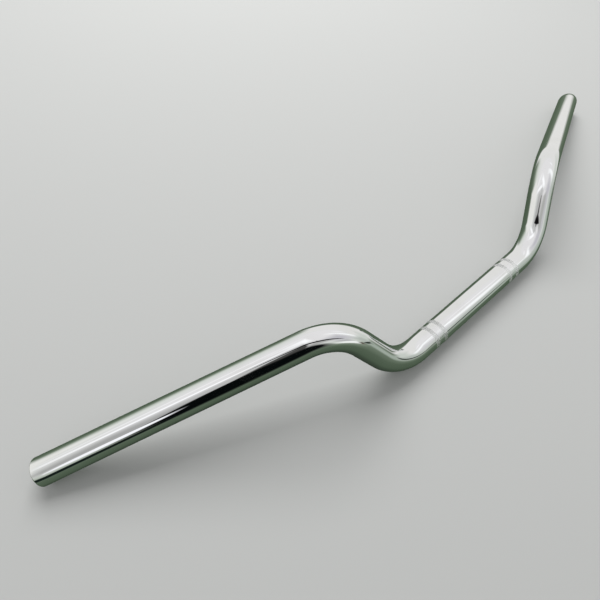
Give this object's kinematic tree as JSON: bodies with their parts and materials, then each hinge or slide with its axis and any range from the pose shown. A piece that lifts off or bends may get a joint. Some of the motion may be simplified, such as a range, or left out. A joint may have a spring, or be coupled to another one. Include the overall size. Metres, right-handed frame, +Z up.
{
  "type": "motorcycle handlebar",
  "caption": "Chromed steel motorcycle handlebar, low rise, bent from one 7/8 inch tube: knurled clamp section, short risers, swept-back grip ends and threaded end inserts.",
  "frame": {"origin": "middle of the clamp section, on the tube's centre line; the bar lies on a flat surface, on its clamp section and its two grip ends", "axes": "+X along the clamp section towards the right-hand grip, +Y from the clamp section towards the grip ends (towards the rider), +Z up from the surface that the bar lies on"},
  "size_m": [0.726, 0.1329, 0.073],
  "materials": {
    "chrome_tube": "bright chrome plate on steel, with fine wiping marks",
    "insert_steel": "turned steel, zinc plated"
  },
  "bodies": {
    "root": {"handlebar_tube": "chrome_tube", "left_end_insert": "insert_steel", "right_end_insert": "insert_steel"}
  },
  "joints": []
}
